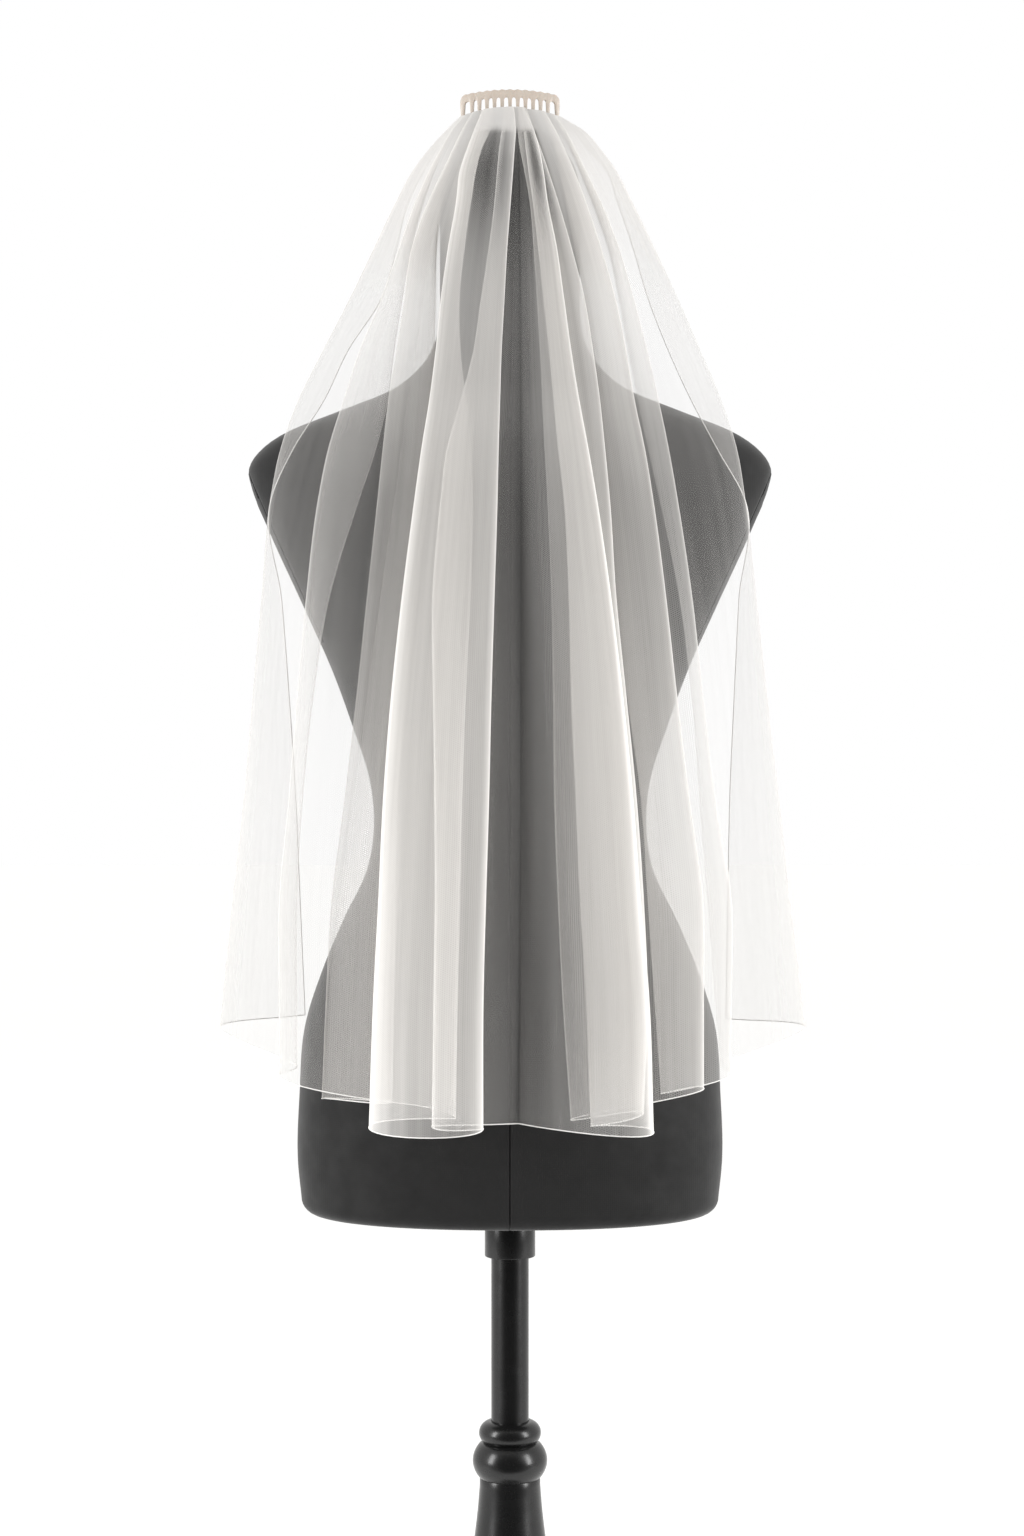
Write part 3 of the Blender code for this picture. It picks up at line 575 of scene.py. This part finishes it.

# %% [markdown]
# ## The veil
#
# A real veil starts flat. Its top edge is gathered on the comb and the cloth falls into flutes: long folds that
# widen towards the hem. Letting a cloth solver find them would give good folds but not these ones, so each main
# fold is given as a line down the cloth, seen from the eye. Between two lines the cloth sweeps
# across, and at a line where it turns back it rounds a soft bend.

# %% Fold table
FOLDS = (
    # Each row is one line down the cloth, from its left free edge to its right one: how far across it looks to be
    # at the comb and at 130, 150, 170, 200, 250 ... 500, 600 ... 1000 picture units down and at the hem, in mm; how
    # high its hem looks; how many layers it lies outside the innermost one; which way it turns back; and whether
    # it swings forward round the form's side.
    ("left free edge", (-39.2, -49.8, -59.6, -68.5, -80.8, -91.2, -103.6, -129.4, -148.7, -173.8, -191.2, -182.7, -176.5, -171.4, -168.0, -164.5, -164.0), 893, 0.0, 0, 1),
    ("left outline", (-40.3, -51.0, -65.5, -77.6, -90.6, -109.7, -128.9, -149.6, -169.5, -183.8, -191.8, -199.2, -206.5, -213.4, -222.3, -230.3, -232.4), 883, 0.0, -2, 0),
    ("left side pleat, inner", (-35.2, -44.3, -52.6, -59.6, -68.1, -79.0, -86.1, -92.3, -97.5, -107.3, -120.7, -144.8, -157.5, -165.7, -170.2, -170.4, -170.4), 852, 0.0, -1, 0),
    ("left side pleat, outer", (-36.0, -46.5, -56.0, -64.4, -75.1, -89.4, -103.4, -120.3, -133.3, -145.6, -153.6, -163.3, -170.7, -177.3, -184.8, -184.8, -184.8), 845, 1.0, -1, 0),
    ("left back pleat, inner", (-28.0, -35.1, -41.6, -46.8, -52.9, -58.5, -59.4, -60.3, -61.2, -62.6, -67.5, -76.7, -83.9, -90.2, -91.5, -92.7, -94.0), 824, 1.3, -1, 0),
    ("left back pleat, outer", (-30.0, -38.5, -46.2, -53.7, -65.0, -79.1, -84.8, -90.9, -97.3, -101.9, -106.0, -114.6, -123.1, -132.5, -142.6, -147.2, -150.4), 826, 2.3, -1, 0),
    ("left flute, inner", (-11.2, -15.7, -22.8, -26.9, -30.8, -36.4, -40.3, -39.4, -34.9, -31.1, -29.8, -31.6, -35.3, -38.0, -39.9, -41.7, -43.2), 810, 2.6, -1, 0),
    ("left flute, outer", (-22.0, -28.7, -34.7, -40.0, -42.9, -49.9, -55.5, -59.5, -64.6, -71.0, -76.5, -86.8, -95.4, -101.5, -105.3, -109.4, -112.8), 803, 3.8, -1.6, 0),
    ("left flute, centre side", (3.2, 4.7, 3.7, 2.6, 0.8, -2.2, -4.4, -6.6, -7.8, -9.0, -9.9, -12.4, -14.8, -16.6, -19.0, -21.0, -21.2), 802, 5.2, 1.6, 0),
    ("left flute, heart", (-4.0, -6.6, -8.7, -10.2, -12.3, -17.2, -23.3, -29.2, -39.4, -50.7, -55.6, -62.1, -61.4, -60.4, -60.0, -61.1, -62.4), 804, 4.6, 1, 0),
    ("centre panel", (4.8, 5.8, 6.7, 7.3, 7.7, 8.1, 8.3, 8.5, 8.6, 8.8, 8.8, 8.8, 8.8, 8.7, 8.2, 7.8, 7.2), 806, 4.0, 0, 0),
    ("right flute, outer", (11.2, 19.4, 23.8, 26.8, 30.1, 37.9, 43.5, 49.1, 55.6, 63.1, 69.9, 81.5, 91.1, 98.9, 104.8, 111.7, 115.2), 799, 4.8, 1.6, 0),
    ("right flute, heart", (8.8, 10.8, 12.7, 14.7, 18.1, 22.7, 26.8, 31.3, 34.9, 38.6, 43.1, 47.0, 49.0, 52.6, 56.0, 60.9, 64.8), 804, 3.6, 1, 0),
    ("right flute, inner", (12.8, 19.2, 25.1, 30.6, 38.3, 49.9, 60.0, 66.5, 72.1, 76.3, 80.1, 85.4, 93.6, 101.6, 107.2, 110.4, 107.2), 815, 3.0, 1, 0),
    ("right flute, centre side", (4.8, 6.0, 8.2, 11.4, 15.6, 19.0, 21.6, 24.0, 25.9, 27.8, 29.9, 33.2, 34.6, 35.5, 38.4, 42.2, 48.8), 809, 2.2, 1, 0),
    ("right back pleat, outer", (28.0, 36.5, 44.2, 51.1, 60.3, 73.6, 84.8, 93.0, 99.8, 108.2, 114.8, 125.3, 134.2, 144.1, 154.6, 155.2, 155.2), 834, 2.2, 1, 0),
    ("right back pleat, inner", (24.0, 29.9, 35.3, 39.5, 44.2, 52.0, 60.0, 66.5, 72.1, 76.3, 80.1, 85.3, 94.2, 104.9, 110.2, 115.6, 120.8), 830, 1.2, 1, 0),
    ("right side pleat, outer", (36.0, 44.8, 52.8, 60.7, 72.3, 88.0, 99.4, 109.8, 119.0, 127.3, 134.3, 146.2, 155.0, 164.9, 177.5, 177.5, 176.8), 846, 1.1, 1, 0),
    ("right side pleat, inner", (32.8, 40.9, 48.3, 55.2, 64.8, 78.7, 87.0, 94.5, 102.2, 110.8, 119.8, 135.9, 145.7, 151.5, 157.8, 164.0, 168.0), 853, 0.3, 1, 0),
    ("right outline", (41.6, 58.4, 73.1, 84.8, 97.1, 116.5, 134.9, 152.3, 169.2, 181.8, 188.4, 197.6, 206.4, 215.8, 224.7, 234.1, 236.4), 883, 0.0, 2, 0),
    ("right free edge", (40.0, 49.9, 63.3, 76.9, 85.6, 99.0, 111.0, 126.6, 145.0, 166.3, 188.0, 183.2, 179.3, 175.8, 174.4, 173.0, 172.8), 890, 0.0, 0, 1),
)
DRAPE = (
    # How deep the innermost layer lies behind the pole at the centre and at the outline, how far a free edge
    # swings forward, and the space that one layer takes, by height, all in mm.
    # height, centre, outline, swing, layer
    (1619.5, -3.2, -9.0, 1.0, 2.0),
    (1600, 40, 0, 4.6, 2.0),
    (1585, 53.5, 6, 5, 2.1),
    (1560, 57, 12, 4, 2.2),
    (1525, 56, 18, 5, 2.4),
    (1450, 56, 34, 5, 2.8),
    (1400, 66, 44, 4, 3.4),
    (1350, 89, 58, 3, 4.2),
    (1323, 96.8, 65, 3, 4.6),
    (1300, 100, 62, 4, 5.0),
    (1241, 104, 46, 8, 6.5),
    (1078, 119, 20, 42, 11),
    (950, 135, 14, 52, 14),
    (800, 150, 10, 56, 17),
)
COMB_LINE, COMB_LINE_DROOP = 1619.5, 8.4
SEEN_DOWN = (130, 150, 170, 200, 250, 300, 350, 400, 450, 500, 600, 700, 800, 900, 1000)
SEEN_TOP, SEEN_UNIT = 1704.8, 0.8
TURN_ROUNDNESS = 0.45
ROWS = 210
ROUND_TIPS = 0.3
BELLIES = (
    # how far each stretch bulges towards the eye at the hem, in mm
    0, 8, 0, 30, 8, -30, -20, 28, 16, 10, 22, -18, 18, -8, 6, -10, 16, -8, 10, 0,
)
HEM_SAG = 1.6
OVER_SHOULDER, SHOULDER_CREST = 6, 1340
COLUMNS_EACH = 19
print(len(FOLDS), "fold lines")

# %% [markdown]
# Between the main folds tulle is never quite flat. Fine ripples start at the gathers and fade as the cloth opens.
# They are a few soft waves with fixed random phases, so that every run gives the same cloth.

# %% Cloth rows
random = np.random.default_rng(7)
ripple_waves = random.integers(1, 5, (len(FOLDS) - 1, 3))
ripple_phase = random.uniform(0, 2 * math.pi, (len(FOLDS) - 1, 3))
ripple_drift = random.uniform(-5, 5, (len(FOLDS) - 1, 3))


def drape_at(height, column):
    table = np.array(DRAPE)[::-1]
    return smooth(table[:, 0], table[:, column], height)


def fold_line(fold, shares):
    """Where a fold's line looks to be, across and up, at shares of the way from the comb to its hem."""
    places, hem_height = fold[1], fold[2]
    comb_height = COMB_LINE - COMB_LINE_DROOP * (places[0] / 41) ** 2
    height = comb_height + (hem_height - comb_height) * shares
    levels = [comb_height] + [SEEN_TOP - SEEN_UNIT * down for down in SEEN_DOWN] + [hem_height]
    return smooth(levels[::-1], places[::-1], height), height


def turned_by(turns, start, end, knots, i):
    """The cloth's direction where it passes a line: straight behind or before the eye where it turns back."""
    if FOLDS[i][4]:
        strength = np.sqrt(6 * np.abs(turns[i]) * np.abs(end[:, 0] - start[:, 0]))
        out = np.zeros_like(start)
        out[:, 2] = -np.sign(FOLDS[i][4]) * strength
        out[:, 1] = out[:, 2] * (knots[i][:, 1] - EYE_HEIGHT_CAD / MM) / (EYE_DISTANCE / MM - knots[i][:, 2])
        out[:, 1] += ROUND_TIPS * (knots[i + 1][:, 1] - knots[i - 1][:, 1])
        return out
    if 0 < i < len(knots) - 1:
        return (knots[i + 1] - knots[i - 1]) / 2
    return (end - start) * (1, 1, 0.5)


EYE_HEIGHT_CAD = 1.090


def sight(seen):
    """The real places of points that look to be at (across, height) and lie `depth` mm behind the pole."""
    nearer = 1 - seen[..., 2] * MM / EYE_DISTANCE
    rise = (seen[..., 1] * MM - EYE_HEIGHT_CAD) * nearer
    return np.stack((seen[..., 0] * MM * nearer, -seen[..., 2] * MM, EYE_HEIGHT_CAD + rise), -1)


shares = np.linspace(0, 1, ROWS + 1) ** 1.35
lines = [fold_line(fold, shares) for fold in FOLDS]
knots, turns = [], []
for fold, (across, height) in zip(FOLDS, lines):
    reach = np.where(across > 0, lines[-2][0], -lines[1][0])
    out = np.ones_like(across) if fold[5] else np.clip(np.abs(across) / reach, 0, 1)
    centre, outline, forward, space = (drape_at(height, column) for column in (1, 2, 3, 4))
    depth = outline + (centre - outline) * np.sqrt(1 - out * out) + fold[3] * space - fold[5] * forward
    depth += fold[5] * OVER_SHOULDER * np.exp(-(((height - SHOULDER_CREST) / 28) ** 2))
    knots.append(np.column_stack((across, height, depth)))
    turns.append(np.abs(fold[4]) * TURN_ROUNDNESS * space)

# %% [markdown]
# Points crowd together near each bend, where the cloth curves most, and spread out between bends.

# %% Cloth surface
columns = [knots[0]]
for i in range(len(FOLDS) - 1):
    start, end = knots[i], knots[i + 1]
    leave, arrive = (turned_by(turns, start, end, knots, k) for k in (i, i + 1))
    width = np.abs(end[:, 0] - start[:, 0])
    for step in range(1, COLUMNS_EACH + 1):
        t = 0.5 - 0.5 * math.cos(math.pi * step / COLUMNS_EACH)
        spot = start + (end - start) * t * t * (3 - 2 * t) + leave * t * (1 - t) ** 2 - arrive * t * t * (1 - t)
        wave = sum(
            np.sin(2 * math.pi * ripple_waves[i, k] * t + ripple_phase[i, k] + ripple_drift[i, k] * shares) for k in range(3)
        )
        fade = 0.05 + 0.55 * np.exp(-(((shares - 0.12) / 0.14) ** 2)) * np.clip(shares / 0.03, 0, 1) + 0.35 * shares
        spot = spot.copy()
        spot[:, 2] += 0.33 * wave * np.minimum(fade, width / 14) * (4 * t * (1 - t))
        belly = 0.8 * BELLIES[i] * shares**1.6 * (4 * t * (1 - t))
        spot[:, 1] += HEM_SAG * belly * (spot[:, 1] - EYE_HEIGHT_CAD / MM) / (EYE_DISTANCE / MM - spot[:, 2])
        spot[:, 2] += belly
        columns.append(spot)
seen = np.stack(columns, 1)
real = sight(seen)
across_steps = np.linalg.norm(np.diff(real, axis=1), axis=2)
down_steps = np.linalg.norm(np.diff(real, axis=0), axis=2)
row_lengths = across_steps.sum(1)
print("gathered edge", round(row_lengths[0], 3), "m, hem", round(row_lengths[-1], 3), "m")
print("mean length", round(down_steps.sum(0).mean(), 3), "m")

# %% [markdown]
# Laid flat, the cloth is 1.50 m wide at its hem and about 1.10 m at the edge that is gathered, 1.30 m on average. A row
# that is shorter than that is gathered: its fullness is the mean flat width over the row's own length. Fine gathers
# merge when looked at, so the fullness counts a little less.

# In the flutes the tulle also lies in many folds too fine to tell apart, so each fold line has a share for those.

# %% Veil mesh
FINE_FOLDS = (
    # one share for each fold line, from the left free edge to the right one: below the neck, and at the gathers
    (1.3, 1.3, 1.3, 1.3, 1.8, 2.3, 3.5, 4.0, 2.6, 3.8, 0.72, 4.4, 3.9, 4.2, 1.2, 3.4, 3.6, 1.7, 1.3, 1.3, 1.3),
    (1.9, 2.2, 3.2, 3.6, 6.0, 8.0, 6.5, 5.0, 3.4, 3.2, 0.12, 4.6, 3.6, 4.6, 3.0, 6.4, 6.4, 3.6, 3.2, 2.2, 1.9),
)
BUNCHING = 0.8
FLUTES = (7, 14.5)
CREASE, GATHERS = 1.0, 3.6
FLAT_HEM, FLAT_LENGTH, MEAN_WIDTH = 1.50, 0.83, 1.30
FULLNESS_WEIGHT = 0.5
rows_count, columns_count = real.shape[:2]
points = real.reshape(-1, 3)
faces = []
for row in range(rows_count - 1):
    a = row * columns_count
    b = a + columns_count
    faces += [(a + c, b + c, b + c + 1, a + c + 1) for c in range(columns_count - 1)]
veil = add_mesh("veil_tulle", points, faces, tulle)
line_places = np.arange(columns_count) / COLUMNS_EACH
lower, upper = (np.interp(line_places, np.arange(len(FOLDS)), shares_of)[None, :] for shares_of in FINE_FOLDS)
heights_seen = seen[:, :, 1]
gathered = np.clip((heights_seen - 1460) / 110, 0, 1)
gathered = gathered * gathered * (3 - 2 * gathered)
between = np.sin(math.pi * (line_places % 1))[None, :] ** 2
between = between * ((line_places > FLUTES[0]) & (line_places < FLUTES[1]))[None, :]
between = between * np.where(line_places < FLUTES[0] + 1, 0.88, 1.0)[None, :]
bunched = 1 + BUNCHING * gathered * (0.3 - 1.5 * between)
at_comb = np.clip((heights_seen - 1599.5) / 6, 0, 1)
to_line = np.abs(line_places - np.round(line_places))
turned_back = np.array([fold[4] != 0 for fold in FOLDS])[np.round(line_places).astype(int)]
crease = 1 + CREASE * (np.exp(-((to_line / 0.02) ** 2)) * turned_back)[None, :]
fine = (lower + (upper - lower) * gathered) * bunched * crease + GATHERS * at_comb
fullness = (MEAN_WIDTH / row_lengths[:, None] + 0.1) ** FULLNESS_WEIGHT * fine
fullness = fullness.reshape(-1)
veil.data.attributes.new("fullness", "FLOAT", "POINT").data.foreach_set("value", fullness.astype(np.float32))
hem_places = np.concatenate(([0], np.cumsum(across_steps[-1])))
flat_x = np.tile(hem_places * MEAN_WIDTH / hem_places[-1], rows_count)
flat_y = np.concatenate((np.zeros((1, columns_count)), np.cumsum(down_steps, axis=0))).reshape(-1)
layout = veil.data.uv_layers.new(name="flat cloth")
corners = np.empty(len(veil.data.loops), np.int32)
veil.data.loops.foreach_get("vertex_index", corners)
layout.data.foreach_set("uv", np.column_stack((flat_x[corners], -flat_y[corners])).astype(np.float32).reshape(-1))
place(veil, "tulle", "veil_panel")

# %% [markdown]
# A pencil edge is a single thick thread sewn over the cut edge by a fine zigzag. It is what draws the thin bright
# line along both sides and the hem.

# %% Pencil edge
EDGE_RADIUS = 0.42 * MM
path = np.concatenate((real[1:, 0], real[-1, 1:-1], real[1:, -1][::-1]))
curve = bpy.data.curves.new("pencil_edge", "CURVE")
curve.dimensions = "3D"
line = curve.splines.new("POLY")
line.points.add(len(path) - 1)
for spot, at in zip(line.points, path):
    spot.co = (*at, 1)
curve.bevel_depth = EDGE_RADIUS
curve.bevel_resolution = 2
curve.use_fill_caps = True
pencil = bpy.data.objects.new("pencil_edge", curve)
bpy.context.scene.collection.objects.link(pencil)
curve_mesh = bpy.data.meshes.new_from_object(pencil.evaluated_get(bpy.context.evaluated_depsgraph_get()))
bpy.data.objects.remove(pencil, do_unlink=True)
curve_mesh.materials.clear()
curve_mesh.materials.append(edging.material)
curve_mesh.shade_smooth()
pencil = bpy.data.objects.new("veil_pencil_edge", curve_mesh)
bpy.context.scene.collection.objects.link(pencil)
place(pencil, "edging", "veil_edge")

# %% [markdown]
# ## Light and floor
#
# The picture has a white ground with no visible wall. The light comes from both sides and above, so that black
# cloth stays dark in the middle and lightens at its turning edges, and the lacquer shows paired soft bands.

# %% World
world = bpy.data.worlds.new("studio")
bpy.context.scene.world = world
world.use_nodes = True
sky, wires = world.node_tree.nodes, world.node_tree.links
sky.clear()


def sky_node(kind, **values):
    made = sky.new(kind)
    for name, value in values.items():
        setattr(made, name, value)
    return made


toward = sky_node("ShaderNodeSeparateXYZ")
wires.new(sky_node("ShaderNodeTexCoord").outputs["Generated"], toward.inputs[0])
ramp = sky_node("ShaderNodeMapRange")
wires.new(toward.outputs[1], ramp.inputs["Value"])
for name, value in (("From Min", -0.86), ("From Max", -0.3), ("To Min", 0.05), ("To Max", 1.0)):
    ramp.inputs[name].default_value = value
around, behind = sky_node("ShaderNodeBackground"), sky_node("ShaderNodeBackground")
wires.new(ramp.outputs["Result"], around.inputs["Strength"])
behind.inputs["Strength"].default_value = 1.0
for ground in (around, behind):
    ground.inputs["Color"].default_value = (1, 0.995, 0.985, 1)
behind.inputs["Color"].default_value = (1, 1, 1, 1)
either, out = sky_node("ShaderNodeMixShader"), sky_node("ShaderNodeOutputWorld")
wires.new(sky_node("ShaderNodeLightPath").outputs["Is Camera Ray"], either.inputs["Fac"])
wires.new(around.outputs[0], either.inputs[1])
wires.new(behind.outputs[0], either.inputs[2])
wires.new(either.outputs[0], out.inputs["Surface"])
print(len(bpy.context.scene.world.node_tree.nodes), "world nodes")

# %% [markdown]
# ## Side lights
# Two tall soft lamps stand at either side, a little towards the eye. They draw the bright lines on the fold edges.

# %% Side lights
LIGHT_AWAY, LIGHT_TURN, LIGHT_WATTS = 2.4, math.radians(62), 46
for side in (-1, 1):
    lamp = bpy.data.lights.new("side light", "AREA")
    lamp.shape, lamp.size, lamp.size_y, lamp.energy = "RECTANGLE", 0.6, 1.8, LIGHT_WATTS
    light = bpy.data.objects.new("side light", lamp)
    light.location = (side * LIGHT_AWAY * math.sin(LIGHT_TURN), -LIGHT_AWAY * math.cos(LIGHT_TURN), 1.45)
    light.rotation_euler = (math.radians(82), 0, side * LIGHT_TURN)
    light.visible_camera = False
    bpy.context.scene.collection.objects.link(light)
print(len(bpy.data.lights), "side lights")

# %% [markdown]
# ## Floor
# A plain pale sheet of paper. It begins a little in front of the stand, so that the black lacquer doesn't mirror it.

# %% Floor
paper = Finish("floor")
paper.put(paper.colours(paper.noise(0.7, 2), (0.795, 0.795, 0.79), (0.81, 0.81, 0.805)), paper.shader.inputs["Base Color"])
paper.shader.inputs["Roughness"].default_value = 0.9
paper.shader.inputs["Emission Color"].default_value = (1, 1, 1, 1)
paper.shader.inputs["Emission Strength"].default_value = 0.31
FLOOR = 30
NEAR_EDGE = -0.7
floor = add_mesh("floor", [(-FLOOR, NEAR_EDGE, 0), (FLOOR, NEAR_EDGE, 0), (FLOOR, FLOOR, 0), (-FLOOR, FLOOR, 0)], [(0, 1, 2, 3)], paper)
settings = bpy.context.scene
settings.view_settings.view_transform = "Standard"
settings.cycles.transparent_max_bounces = 40
settings.cycles.max_bounces = 8
settings.cycles.use_denoising = True
print("floor from", NEAR_EDGE, "to", FLOOR, "m")
